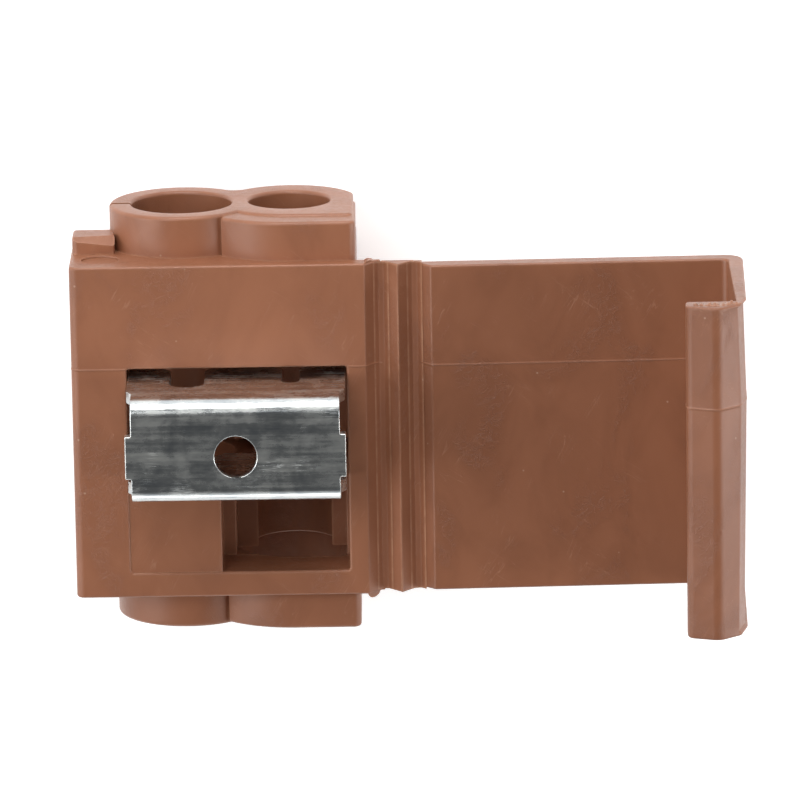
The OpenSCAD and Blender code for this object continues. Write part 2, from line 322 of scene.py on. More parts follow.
def bead(y: np.ndarray, height: float) -> np.ndarray:
    """Height of the parting line's bead: height * exp(-((y - PARTING_Y) / BEAD_WIDTH) ** 2)."""
    return height * np.exp(-(((y - PARTING_Y) / BEAD_WIDTH) ** 2))


def copy_of_node(node: bpy.types.Object, name: str, flat_below: float = 0.6) -> bpy.types.Object:
    """A merged copy of a node's mesh, with its flat faces made whole.

    Args:
        node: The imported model's node.
        name: The copy's name.
        flat_below: Edges that bend less than this many degrees are dissolved.

    Returns:
        The copy, at the origin.
    """
    work = bmesh.new()
    work.from_mesh(node.data)
    bmesh.ops.remove_doubles(work, verts=work.verts, dist=1e-6)
    bmesh.ops.dissolve_limit(work, angle_limit=math.radians(flat_below), verts=work.verts, edges=work.edges)
    bmesh.ops.recalc_face_normals(work, faces=work.faces)
    mesh = bpy.data.meshes.new(name)
    work.to_mesh(mesh)
    work.free()
    mesh.shade_smooth()
    piece = bpy.data.objects.new(name, mesh)
    bpy.context.scene.collection.objects.link(piece)
    return piece


def soften_edges(piece: bpy.types.Object, radius: float, spans: int = 3, sharper_than: float = 24.0) -> None:
    """Rounds the piece's sharp edges with a Bevel modifier.

    Args:
        piece: The piece, with a merged mesh.
        radius: Radius in millimetres.
        spans: Spans across each rounded edge.
        sharper_than: Edges that bend more than this many degrees are rounded.
    """
    work = bmesh.new()
    work.from_mesh(piece.data)
    layer = work.edges.layers.float.get("bevel_weight_edge") or work.edges.layers.float.new("bevel_weight_edge")
    for edge in work.edges:
        if len(edge.link_faces) == 2 and edge.calc_face_angle() > math.radians(sharper_than):
            edge[layer] = 1.0
    work.to_mesh(piece.data)
    work.free()
    piece.data.set_sharp_from_angle(angle=math.radians(40))
    bevel = piece.modifiers.new("rounded edges", "BEVEL")
    bevel.limit_method = "WEIGHT"
    bevel.offset_type = "OFFSET"
    bevel.width = radius * MM
    bevel.segments = spans
    bevel.use_clamp_overlap = False
    bevel.miter_outer = "MITER_ARC"
    bevel.harden_normals = True


# ---------------------------------------------------------------- shader groups


class Group:
    """Builds a shader node group with named sockets."""

    def __init__(self, name: str) -> None:
        """Starts an empty group of that name."""
        self.tree = bpy.data.node_groups.new(name, "ShaderNodeTree")
        self.start = self.tree.nodes.new("NodeGroupInput")
        self.end = self.tree.nodes.new("NodeGroupOutput")

    def takes(self, name: str, kind: str = "NodeSocketFloat", value: float | None = None) -> Socket:
        """Adds an input and returns its inner end."""
        socket = self.tree.interface.new_socket(name=name, in_out="INPUT", socket_type=kind)
        if value is not None:
            socket.default_value = value
        return self.start.outputs[name]

    def gives(self, name: str, source: Socket) -> None:
        """Adds an output fed by source."""
        self.tree.interface.new_socket(name=name, in_out="OUTPUT", socket_type="NodeSocketFloat")
        self.tree.links.new(source, self.end.inputs[name])

    def add(self, kind: str, settings: dict | None = None, **sockets) -> bpy.types.Node:
        """Adds a node, see add_node."""
        return add_node(self.tree, kind, settings, **sockets)

    def maths(self, operation: str, *values: object) -> Socket:
        """Adds a Math node, see maths."""
        return maths(self.tree, operation, *values)

    def spread(self, value: Socket, *limits: float) -> Socket:
        """Adds a soft Map Range, see spread."""
        return spread(self.tree, value, *limits)

    def scaled(self, place: Socket, by: object) -> Socket:
        """A place multiplied along each axis."""
        return self.add("ShaderNodeVectorMath", {"operation": "MULTIPLY"}, i0=place, i1=by).outputs[0]

    def noise(self, place: Socket, scale: object, detail: float, roughness: float = 0.5,
              distortion: float = 0.0) -> Socket:
        """A noise texture's value."""
        return self.add("ShaderNodeTexNoise", Vector=place, Scale=scale, Detail=detail, Roughness=roughness,
                        Distortion=distortion).outputs["Fac"]


def add_node(tree: Nodes, kind: str, settings: dict | None = None, **sockets) -> bpy.types.Node:
    """Adds a shader node.

    Args:
        tree: The tree that gets it.
        kind: The node's type.
        settings: Values of the node's own settings.
        **sockets: Inputs by name, with _ for a space, or iN for input number N. A socket is linked,
            and anything else is set.

    Returns:
        The node.
    """
    node = tree.nodes.new(kind)
    for key, value in (settings or {}).items():
        setattr(node, key, value)
    for key, value in sockets.items():
        numbered = key[0] == "i" and key[1:].isdigit()
        slot = node.inputs[int(key[1:]) if numbered else key.replace("_", " ")]
        if isinstance(value, Socket):
            tree.links.new(value, slot)
        else:
            slot.default_value = value
    return node


def maths(tree: Nodes, operation: str, *values: object) -> Socket:
    """A Math node's result for one to three values or sockets."""
    slots = {f"i{k}": value for k, value in enumerate(values)}
    return add_node(tree, "ShaderNodeMath", {"operation": operation}, **slots).outputs[0]


def weighted(tree: Nodes, *parts: tuple[Socket, float]) -> Socket:
    """The sum of values, each times its weight."""
    total = None
    for value, weight in parts:
        term = maths(tree, "MULTIPLY", value, weight)
        total = term if total is None else maths(tree, "ADD", total, term)
    return total


def spread(tree: Nodes, value: Socket, low: float, high: float, to_low: float = 0.0, to_high: float = 1.0) -> Socket:
    """Maps value from low..high to to_low..to_high with soft ends."""
    node = add_node(tree, "ShaderNodeMapRange", {"interpolation_type": "SMOOTHSTEP"}, Value=value,
                    From_Min=low, From_Max=high, To_Min=to_low, To_Max=to_high)
    return node.outputs["Result"]


def blend_colours(tree: Nodes, share: object, a: object, b: object) -> Socket:
    """Mixes colour a towards colour b by share."""
    a, b = ((*colour, 1.0) if isinstance(colour, tuple) else colour for colour in (a, b))
    return add_node(tree, "ShaderNodeMix", {"data_type": "RGBA"}, Factor=share, i6=a, i7=b).outputs[2]


def coats(tree: Nodes, base: object, *layers: tuple[Socket, float, Colour]) -> Socket:
    """Lays colours over a base, each by its share times its strength, which is at most 1."""
    for share, strength, tint in layers:
        base = blend_colours(tree, maths(tree, "MULTIPLY", share, min(strength, 1.0)), base, tint)
    return base


def seen_rays(tree: Nodes) -> Socket:
    """1 for camera, glossy and clear rays, and 0 for the rays that carry light between surfaces."""
    rays = add_node(tree, "ShaderNodeLightPath").outputs
    mirrored = maths(tree, "MAXIMUM", rays["Is Glossy Ray"], rays["Is Transmission Ray"])
    return maths(tree, "MAXIMUM", rays["Is Camera Ray"], mirrored)


def new_material(name: str) -> tuple[bpy.types.Material, bpy.types.Node, Socket]:
    """A material, its shader and the place on the object."""
    material = bpy.data.materials.new(name)
    material.use_nodes = True
    tree = material.node_tree
    return material, tree.nodes["Principled BSDF"], add_node(tree, "ShaderNodeTexCoord").outputs["Object"]


def relief(tree: Nodes, shader: bpy.types.Node, height: Socket, strength: float, distance: float) -> None:
    """Feeds a height to the shader as a bump."""
    bump = add_node(tree, "ShaderNodeBump", Strength=strength, Distance=distance, Height=height)
    tree.links.new(bump.outputs["Normal"], shader.inputs["Normal"])


def linear(r: int, g: int, b: int) -> Colour:
    """The linear colour of an 8-bit display colour."""
    def part(v: float) -> float:
        """One channel by the display curve: a line at the dark end and a power of 2.4 above it."""
        v = v / 255
        return v / 12.92 if v <= 0.04045 else ((v + 0.055) / 1.055) ** 2.4
    return part(r), part(g), part(b)


def mottle_group() -> Nodes:
    """Cloudy flow marks of moulded plastic: a broad and a fine noise, with the broad one drawn out."""
    group = Group("moulding mottle")
    place = group.takes("Place", "NodeSocketVector")
    size = group.takes("Clouds per metre", value=260.0)
    broad = group.noise(group.scaled(place, (1.0, 0.6, 1.0)), size, 3.0, 0.55, 0.7)
    fine = group.noise(place, group.maths("MULTIPLY", size, 13.0), 2.0, 0.6)
    grain = group.noise(place, group.maths("MULTIPLY", size, 5.5), 4.0, 0.62, 1.4)
    ridges = group.maths("ABSOLUTE", group.maths("SUBTRACT", grain, 0.5))
    group.gives("Broad", group.spread(broad, 0.3, 0.7))
    group.gives("Fine", fine)
    group.gives("Grain", group.maths("SUBTRACT", 1.0, group.spread(ridges, 0.0, 0.05)))
    return group.tree


def edge_wear_and_highlight_group() -> Nodes:
    """Pale edges, partly rubbed wear and partly painted highlight: the angle between a rounded normal and the true one
    marks edges, broken by noise.
    """
    group = Group("rubbed and highlighted edges")
    place = group.takes("Place", "NodeSocketVector")
    rounded = group.add("ShaderNodeBevel", {"samples": 6}, Radius=group.takes("Radius", value=0.0003))
    true = group.add("ShaderNodeNewGeometry")
    dot = group.add("ShaderNodeVectorMath", {"operation": "DOT_PRODUCT"}, i0=rounded.outputs[0],
                    i1=true.outputs["Normal"])
    edge = group.spread(group.maths("SUBTRACT", 1.0, dot.outputs["Value"]), 0.01, 0.16)
    noise = group.noise(place, 900.0, 4.0, 0.65)
    group.gives("Edge", group.maths("MULTIPLY", edge, group.spread(noise, 0.3, 0.62, 0.35, 1.0)))
    return group.tree


def scratch_group() -> Nodes:
    """Fine scratches: thin bands of a noise that is drawn out along one direction, kept in patches.

    The place is first turned about Z, so that each use has a direction of its own.
    """
    group = Group("scratches")
    place = group.takes("Place", "NodeSocketVector")
    stretch = group.takes("Stretch", "NodeSocketVector")
    turn = group.takes("Turn", value=0.0)
    width = group.takes("Width", value=0.012)
    aside = group.add("ShaderNodeVectorRotate", {"rotation_type": "Z_AXIS"}, Vector=place, Angle=turn)
    noise = group.noise(group.scaled(aside.outputs[0], stretch), 1.0, 2.5, 0.6, 0.25)
    off = group.maths("ABSOLUTE", group.maths("SUBTRACT", noise, 0.52))
    line = group.maths("SUBTRACT", 1.0, group.spread(group.maths("DIVIDE", off, width), 0.2, 1.0))
    patch = group.noise(place, 330.0, 2.0)
    group.gives("Scratch", group.maths("MULTIPLY", line, group.spread(patch, 0.5, 0.66)))
    return group.tree


def speck_group() -> Nodes:
    """Small pale specks: the cores of scattered cells, kept where a random number per cell is high."""
    group = Group("pale specks")
    place = group.takes("Place", "NodeSocketVector")
    scale = group.takes("Specks per metre", value=2600.0)
    share = group.takes("Share", value=0.03)
    cells = group.add("ShaderNodeTexVoronoi", {"feature": "F1"}, Vector=place, Scale=scale)
    core = group.maths("SUBTRACT", 1.0, group.spread(cells.outputs["Distance"], 0.12, 0.3))
    pick = group.add("ShaderNodeSeparateColor", Color=cells.outputs["Color"])
    group.gives("Speck", group.maths("MULTIPLY", core, group.maths("LESS_THAN", pick.outputs[0], share)))
    return group.tree


def rolling_group() -> Nodes:
    """Rolling marks of metal strip: noise stretched along X in broad streaks, in blotches and in hairlines."""
    group = Group("rolling marks")
    place = group.takes("Place", "NodeSocketVector")
    for name, stretch, settings, limits in (
        ("Blotch", (700.0, 1700.0, 1700.0), (6.0, 0.75, 0.3), (0.3, 0.7)),
        ("Streak", (55.0, 1500.0, 1500.0), (4.0, 0.62), (0.34, 0.66)),
        ("Hairline", (160.0, 9000.0, 9000.0), (3.0, 0.62), (0.3, 0.7)),
    ):
        group.gives(name, group.spread(group.noise(group.scaled(place, stretch), 1.0, *settings), *limits))
    return group.tree


# ---------------------------------------------------------------- finishes


class Wear(Enum):
    """How much a moulded surface has been handled, which also sets how strong the painted edge highlight is."""

    HANDLED = 1.0
    FLEXED = 1.6


class Effects:
    """The shared node groups, built once."""

    def __init__(self) -> None:
        """Builds every group."""
        self.mottle = mottle_group()
        self.edges = edge_wear_and_highlight_group()
        self.scratches = scratch_group()
        self.specks = speck_group()
        self.rolling = rolling_group()


def use_group(tree: Nodes, group: Nodes, **sockets) -> bpy.types.Node:
    """Places a group in a material with its own values."""
    return add_node(tree, "ShaderNodeGroup", {"node_tree": group}, **sockets)


@dataclass(frozen=True)
class MouldedPlastic:
    """Satin brown polypropylene, with flow clouds, pale edges of rubbed wear and painted highlight, scratches and
    specks.
    """

    name: str
    effects: Effects
    wear: Wear = Wear.HANDLED
    body: Colour = linear(147, 96, 70)
    dark: Colour = linear(133, 85, 61)
    rubbed_and_highlight: Colour = linear(176, 131, 104)
    pale: Colour = linear(198, 170, 148)
    roughness: float = 0.38
    specular: float = 0.42

    def make(self) -> bpy.types.Material:
        """Builds the material."""
        material, shader, place = new_material(self.name)
        tree = material.node_tree
        mottle = use_group(tree, self.effects.mottle, Place=place, Clouds_per_metre=240.0).outputs
        edges = use_group(tree, self.effects.edges, Place=place, Radius=0.00028).outputs
        lines = self._scratches(tree, place)
        specks = use_group(tree, self.effects.specks, Place=place, Specks_per_metre=3100.0, Share=0.003).outputs
        wear = self.wear.value
        # The pale edge coat is partly rubbed wear and partly painted highlight along the rims and groove edges.
        colour = coats(tree, self.body, (mottle["Broad"], 0.8, self.dark), (edges["Edge"], 0.55 * wear, self.rubbed_and_highlight),
                       (lines, 0.22 * wear, self.rubbed_and_highlight), (specks["Speck"], 0.35 * wear, self.pale))
        tree.links.new(colour, shader.inputs["Base Color"])
        gloss = spread(tree, mottle["Fine"], 0.3, 0.7, self.roughness - 0.03, self.roughness + 0.04)
        tree.links.new(weighted(tree, (gloss, 1.0), (lines, 0.12)), shader.inputs["Roughness"])
        scuffs = maths(tree, "MULTIPLY", spread(tree, mottle["Broad"], 0.55, 0.9), mottle["Grain"])
        height = weighted(tree, (mottle["Broad"], 1.0), (mottle["Fine"], 0.16), (lines, -0.3), (scuffs, 0.7))
        relief(tree, shader, height, 0.35, 0.00005)
        shader.inputs["Specular IOR Level"].default_value = self.specular
        return material

    def _scratches(self, tree: Nodes, place: Socket) -> Socket:
        """Two sets of scratches that cross at a slant; each shows in patches of its own."""
        total = None
        for number, (turn, width) in enumerate(((0.5, 0.007), (-0.95, 0.005))):
            moved = add_node(tree, "ShaderNodeVectorMath", {"operation": "ADD"}, i0=place,
                             i1=(0.031 * number, 0.017 * number, 0.0))
            lines = use_group(tree, self.effects.scratches, Place=moved.outputs[0], Turn=turn, Width=width,
                              Stretch=(1500.0, 120.0, 700.0)).outputs["Scratch"]
            total = lines if total is None else maths(tree, "MAXIMUM", total, lines)
        return total


@dataclass(frozen=True)
class TinnedStrip:
    """Tin plate on rolled strip: blue-grey, with streaks along the rolling direction and dull scuffs."""

    name: str
    effects: Effects
    bright: Colour = linear(226, 227, 222)
    dull: Colour = linear(146, 153, 160)
    roughness: float = 0.2

    def make(self) -> bpy.types.Material:
        """Builds the material."""
        material, shader, place = new_material(self.name)
        tree = material.node_tree
        marks = use_group(tree, self.effects.rolling, Place=place).outputs
        mottle = use_group(tree, self.effects.mottle, Place=place, Clouds_per_metre=420.0).outputs
        lines = use_group(tree, self.effects.scratches, Place=place, Stretch=(300.0, 3800.0, 3800.0),
                          Width=0.02).outputs["Scratch"]
        dullness = weighted(tree, (marks["Streak"], 0.35), (marks["Blotch"], 0.3), (mottle["Broad"], 0.35))
        tree.links.new(blend_colours(tree, dullness, self.bright, self.dull), shader.inputs["Base Color"])
        shader.inputs["Metallic"].default_value = 1.0
        gloss = spread(tree, dullness, 0.2, 0.8, self.roughness + 0.12, self.roughness)
        tree.links.new(weighted(tree, (gloss, 1.0), (lines, 0.2)), shader.inputs["Roughness"])
        height = weighted(tree, (marks["Streak"], 1.0), (marks["Hairline"], 0.4), (marks["Blotch"], 0.5), (lines, -1.0))
        relief(tree, shader, height, 0.3, 0.00001)
        return material


def dress(piece: bpy.types.Object, material: bpy.types.Material) -> None:
    """Gives a piece one material in place of any it had."""
    piece.data.materials.clear()
    piece.data.materials.append(material)


# ---------------------------------------------------------------- the tap


@dataclass
class Channels:
    """The two wire channels, which the housing's shapes are drawn round."""

    run: tuple[float, float] = (0.0, 4.95)
    tap: tuple[float, float] = (7.0, 4.65)
    run_r: float = 3.24
    tap_r: float = 2.635
    run_lobe_r: float = 4.7
    tap_lobe_r: float = 4.595
    saddle_r: float = 0.9
    well_r: float = 3.85
    slit_w: float = 0.35

    def ring_outline(self, right_x: float, front_z: float) -> np.ndarray:
        """Both lobes as arcs, joined by a saddle arc at the back, a crease in front and a flat side.

        Args:
            right_x: Where the tap lobe is cut off on the right.
            front_z: Where its squared corner ends in front.

        Returns:
            The outline's points.
        """
        run, tap = np.array(self.run), np.array(self.tap)
        saddle = third_corner(run, self.run_lobe_r + self.saddle_r, tap, self.tap_lobe_r + self.saddle_r, False)
        crease = third_corner(run, self.run_lobe_r, tap, self.tap_lobe_r, True)
        side = -math.degrees(math.acos((right_x - tap[0]) / self.tap_lobe_r))
        corner_r = 0.5
        corner = (right_x - corner_r, front_z - corner_r)
        return np.concatenate([
            arc(self.tap, self.tap_lobe_r, bearing(tap, saddle), side, 48),
            arc(corner, corner_r, 0, 90, 8),
            arc(self.tap, self.tap_lobe_r, 84, bearing(tap, crease), 24),
            arc(self.run, self.run_lobe_r, bearing(run, crease), 360 + bearing(run, saddle), 120)[1:],
            arc(tuple(saddle), self.saddle_r, bearing(saddle, run), bearing(saddle, tap), 10)[1:-1]])

    def cutters(self, half: float, well_end: float) -> list[bpy.types.Object]:
        """The bores, the wide end of the tap channel and the slit.

        Args:
            half: Half the length over the collars.
            well_end: Where the wide end stops, at the window.

        Returns:
            Shapes to cut out, with flared mouths.
        """
        mouth, past = 0.24, 1.0
        x, z = self.tap
        well = np.concatenate([arc(self.tap, self.well_r, 90, 333, 80),
                               [[x + 3.42, z + self.well_r - 0.3], [x + 3.12, z + self.well_r]]])
        slit_back, slit_front = self.run[1], self.run[1] + self.slit_w
        slit = np.array([(-9, slit_back), (0, slit_back), (0, slit_front), (-9, slit_front)], float)
        top = End(half, flare=mouth, past=past)
        return [
            sweep("run_bore", arc(self.run, self.run_r, 0, 357.5, 143), Way.Y, End(-half, flare=mouth, past=past), top),
            sweep("tap_bore", arc(self.tap, self.tap_r, 0, 357.5, 143), Way.Y,
                  End(well_end - 0.01, flare=0.12, past=0.2), top),
            sweep("tap_mouth", well, Way.Y, End(-half, flare=0.2, past=past), End(well_end)),
            sweep("slit", slit, Way.Y, End(-half - past), End(half + past))]


@dataclass
class Window:
    """The window in the front face, the pocket, the lower cavity and the slots for the legs."""

    left: float = -3.58
    right: float = 10.62
    low: float = -9.37
    high: float = 4.23
    front_z: float = 12.0
    pocket_z: float = 5.7
    pocket_low: float = -3.02
    field_x: float = 2.35
    step: float = 0.12
    ledge_z: float = 7.7
    deep_x: tuple[float, float] = (3.2, 10.42)
    leg_low: tuple[float, float] = (2.99, -2.94)
    leg_t: float = 0.8
    gap: float = 0.08
    slot_z: float = 1.65

    def cutters(self) -> list[bpy.types.Object]:
        """Shapes to cut out: the flared mouth first, then what lies behind it."""
        behind, cavity_high = self.front_z - self.step, self.pocket_low + 0.4
        shapes = [
            self._box("window_mouth", (self.left, self.low), (self.right, self.high), End(behind),
                      End(self.front_z, flare=0.16, past=1.0), 0.2),
            self._box("pocket", (self.left, self.pocket_low), (self.right, self.high), End(self.pocket_z),
                      End(behind, past=0.05), 0.12),
            self._box("lower_cavity", (self.field_x, self.low), (self.right, cavity_high), End(self.ledge_z),
                      End(behind, flare=0.1, past=0.02), 0.1),
            self._box("deep_cavity", (self.deep_x[0], self.low), (self.deep_x[1], cavity_high), End(self.pocket_z),
                      End(self.ledge_z, flare=0.08, past=0.1), 0.1)]
        for number, low in enumerate(self.leg_low):
            shapes.append(self._box(f"leg_slot_{number}", (self.left, low - self.gap),
                                    (self.right, low + self.leg_t + self.gap), End(self.slot_z),
                                    End(self.pocket_z, flare=0.08, past=0.1), 0.0))
        return shapes

    def _box(self, name: str, low: tuple[float, float], high: tuple[float, float], back: End, front: End,
             corner_r: float) -> bpy.types.Object:
        """A rectangle in X and Y with rounded corners, carried along Z."""
        outline = rounded_outline([(low[0], low[1], corner_r), (high[0], low[1], corner_r),
                                   (high[0], high[1], corner_r), (low[0], high[1], corner_r)], 5)
        return sweep(name, outline, Way.Z, back, front)


@dataclass
class Housing:
    """Body with the flange, both lobed collars and their lugs, joined from sweeps with rounded rims."""

    finish: MouldedPlastic
    channels: Channels
    window: Window
    left: float = -7.15
    right: float = 11.3
    front_z: float = 12.0
    half_length: float = 11.0
    collar_half: float = 13.7
    ledge_x: float = -3.88
    ledge_z: float = 1.1
    flange_x: float = 11.85
    groove: tuple[float, float] = (12.71, 11.0)
    fold_x: float = 12.89
    panel_back_z: float = 10.7
    plate_r: float = 6.25
    plate_z: float = 10.9
    crease_x: float = 2.66
    plate_drop: float = 0.15
    rim: float = 0.16
    ring_rim: float = 0.26
    plate_rim: float = 0.24
    dimple: tuple[float, float] = (-5.2, 9.7)
    dimple_r: float = 1.2

    def build(self) -> list[bpy.types.Object]:
        """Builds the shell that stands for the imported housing."""
        shell = self._body()
        parts = []
        for side in (-1, 1):
            parts += self._collar(side)
            parts += self._lug(side)
            parts.append(self._nib(side))
        combine(shell, parts, cut=False)
        cutters = self.channels.cutters(self.collar_half, self.window.low + 0.01) + self.window.cutters()
        cutters.append(sweep("dimple", arc(self.dimple, self.dimple_r, 0, 350, 35), Way.Y,
                             End(self.half_length - 0.15), End(self.half_length, flare=0.06, past=0.4)))
        combine(shell, cutters, cut=True)
        settle(shell)
        finish_shading(shell)
        dress(shell, self.finish.make())
        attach(shell, "housing")
        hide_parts("housing")
        return [shell]

    def _body(self) -> bpy.types.Object:
        """The body and flange as one section along Y, with the bead of the parting line."""
        outline = rounded_outline([
            (self.left, self.front_z, 0.55), (self.flange_x, self.front_z, 0.16), (*self.groove, 0.1),
            (self.fold_x, self.groove[1], 0), (self.fold_x, self.panel_back_z, 0),
            (self.right, self.panel_back_z, 0.12), (self.right, 0, 0.8), (self.ledge_x, 0, 0.3),
            (self.ledge_x, self.ledge_z, 0.15), (self.left, self.ledge_z, 0.4)], 10)[::-1]
        share = np.where(outline[:, 0] > self.groove[0] - 0.1, 0.45, 1.0)
        raised = np.where(outline[:, 1] > 0.05, 1.0, 0.0)
        more = bead(BEAD_STATIONS, 0.028)[:, None] * raised[None]
        return sweep("housing_shell", outline, Way.Y, End(-self.half_length, round=self.rim),
                     End(self.half_length, round=self.rim), share, (BEAD_STATIONS, more))

    def _ends(self, side: int, end: float, rim: float) -> dict[str, End]:
        """The ends of a sweep that stands out of one end of the body."""
        inner, outer = End(side * (self.half_length - 2)), End(side * end, round=rim)
        return {"low": outer, "high": inner} if side < 0 else {"low": inner, "high": outer}

    def _collar(self, side: int) -> list[bpy.types.Object]:
        """The ring round both channels and the plate in front of the tap lobe."""
        ring = self.channels.ring_outline(self.right - 0.15, self.front_z - 2.7)
        x, z = self.channels.tap
        first = 180 - math.degrees(math.acos((x - self.crease_x) / self.plate_r))
        corner_r = 0.5
        plate = np.concatenate([
            arc((x, z), self.plate_r, 90, first, 24), [[self.crease_x, z]], [[self.right, z]],
            arc((self.right - corner_r, self.plate_z - corner_r), corner_r, 0, 90, 8)])
        number = "high" if side > 0 else "low"
        plate_end = self.collar_half - self.plate_drop
        return [sweep(f"ring_{number}", ring, Way.Y, **self._ends(side, self.collar_half, self.ring_rim)),
                sweep(f"plate_{number}", plate, Way.Y, **self._ends(side, plate_end, self.plate_rim))]

    def _lug(self, side: int) -> list[bpy.types.Object]:
        """The small lug beside the run lobe, with a wedge cut off its front corner."""
        low, high = self.front_z - 6.4, self.front_z - 3.85
        left, right = self.left + 0.1, -4.3
        number = "high" if side > 0 else "low"
        block = rounded_outline([(left, low, 0.3), (left, high, 0.4), (right, high, 0.15), (right, low, 0.15)], 6)
        lug = sweep(f"lug_{number}", block, Way.Y, **self._ends(side, self.half_length + 1.1, 0.14))
        near, far = side * (self.half_length + 0.62), side * (self.half_length + 1.5)
        z, y = np.array([(high - 1.25, far), (high + 0.3, far), (high + 0.3, near - side * 0.15), (high, near)]).T
        x, drop = np.array([(self.left - 0.5, 0.3), (-4.0, -0.1)]).T[..., None]
        points = np.stack(np.broadcast_arrays(x, y + side * drop, z), -1)
        faces = [(0, 1, 2, 3), (7, 6, 5, 4), (0, 4, 5, 1), (1, 5, 6, 2), (2, 6, 7, 3), (3, 7, 4, 0)]
        cutter = put_mesh(f"lug_wedge_{number}", points, faces if side < 0 else [f[::-1] for f in faces], 1.0)
        combine(lug, [cutter], cut=True)
        return [lug]

    def _nib(self, side: int) -> bpy.types.Object:
        """The rounded nib at an end of the flange, cut off level with the groove's flank."""
        stand, number = (0.3, "high") if side > 0 else (0.1, "low")
        centre = (self.flange_x + 0.3, side * (self.half_length - stand))
        nib = sweep(f"nib_{number}", arc(centre, 0.42, 0, 345, 23), Way.Z, End(self.panel_back_z + 0.03, round=0.08),
                    End(self.front_z - 0.08, round=0.1))
        left, right = self.flange_x - 0.6, self.fold_x + 1
        crest, above, floor = self.front_z - 0.06, self.front_z + 1, self.groove[1] - 0.02
        over = np.array([(left, crest), (self.flange_x, crest), (self.groove[0] - 0.04, floor), (right, floor),
                         (right, above), (left, above)])
        half = self.half_length + 2
        combine(nib, [sweep(f"over_flank_{number}", over, Way.Y, End(-half), End(half))], cut=True)
        return nib


@dataclass
class LivingHinge:
    """Ridge strip between the folds, and the two thin webs."""

    finish: MouldedPlastic
    fold_x: tuple[float, float] = (12.91, 15.065)
    groove_z: float = 11.0
    back_z: float = 10.7
    flank_w: float = 0.86
    flank_z: float = 0.95
    groove_w: float = 0.4
    half_length: float = 10.925
    apex_half: float = 0.0175
    half_gap: float = 0.02
    fillet: float = 0.06
    lift: float = 0.012

    def build(self) -> list[bpy.types.Object]:
        """Builds the ridge strip and both webs."""
        material = self.finish.make()
        pieces = [self._ridge(), self._web("first_web", 0),
                  self._web("second_web", 1)]
        for piece in pieces:
            dress(piece, material)
        return pieces

    def _ridge(self) -> bpy.types.Object:
        """The strip's section carried along Y with rounded rims."""
        left, right = self.fold_x
        middle = (left + right) / 2
        half, apex_z = self.groove_w / 2, self.groove_z + self.flank_z
        outline = rounded_outline([
            (left + self.half_gap, self.back_z, 0), (left + self.half_gap, self.groove_z, 0),
            (left + half, self.groove_z, self.fillet), (middle - self.apex_half, apex_z, 0.03),
            (middle + self.apex_half, apex_z, 0.03), (right - half, self.groove_z, self.fillet),
            (right - self.half_gap, self.groove_z, 0), (right - self.half_gap, self.back_z, 0)])[::-1]
        end = self.half_length
        piece = sweep("ridge_strip", outline, Way.Y, End(-end, round=0.08), End(end, round=0.08), scale=MM)
        finish_shading(piece)
        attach(piece, "ridge")
        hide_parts("hinge_strip")
        return piece

    def _web(self, name: str, which: int) -> bpy.types.Object:
        """One web: a thin plate whose top is flat in the groove and climbs both flanks in a fillet.

        With s the distance from the fold less half the flat, the top rises by
        slope * s^2 / (s + fillet), which leaves the flat softly and follows the flank further out.
        """
        centre = self.fold_x[which]
        x = np.linspace(-0.5, 0.5, 41)
        rise = np.maximum(np.abs(x) - 0.14, 0.0)
        slope = self.flank_z / self.flank_w
        flat_z, half = self.groove_z + self.lift, self.groove_w / 2
        top = flat_z + slope * rise ** 2 / (rise + self.fillet)
        top = np.minimum(top, flat_z + slope * np.maximum(np.abs(x) - half, 0) + 0.03)
        under = np.full_like(x, self.back_z - 0.008)
        outline = np.stack([np.concatenate([centre + x, centre + x[::-1]]), np.concatenate([top, under])], -1)[::-1]
        end = self.half_length - 0.04
        piece = sweep(name, outline, Way.Y, End(-end), End(end), scale=MM)
        finish_shading(piece)
        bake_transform(piece)
        return piece


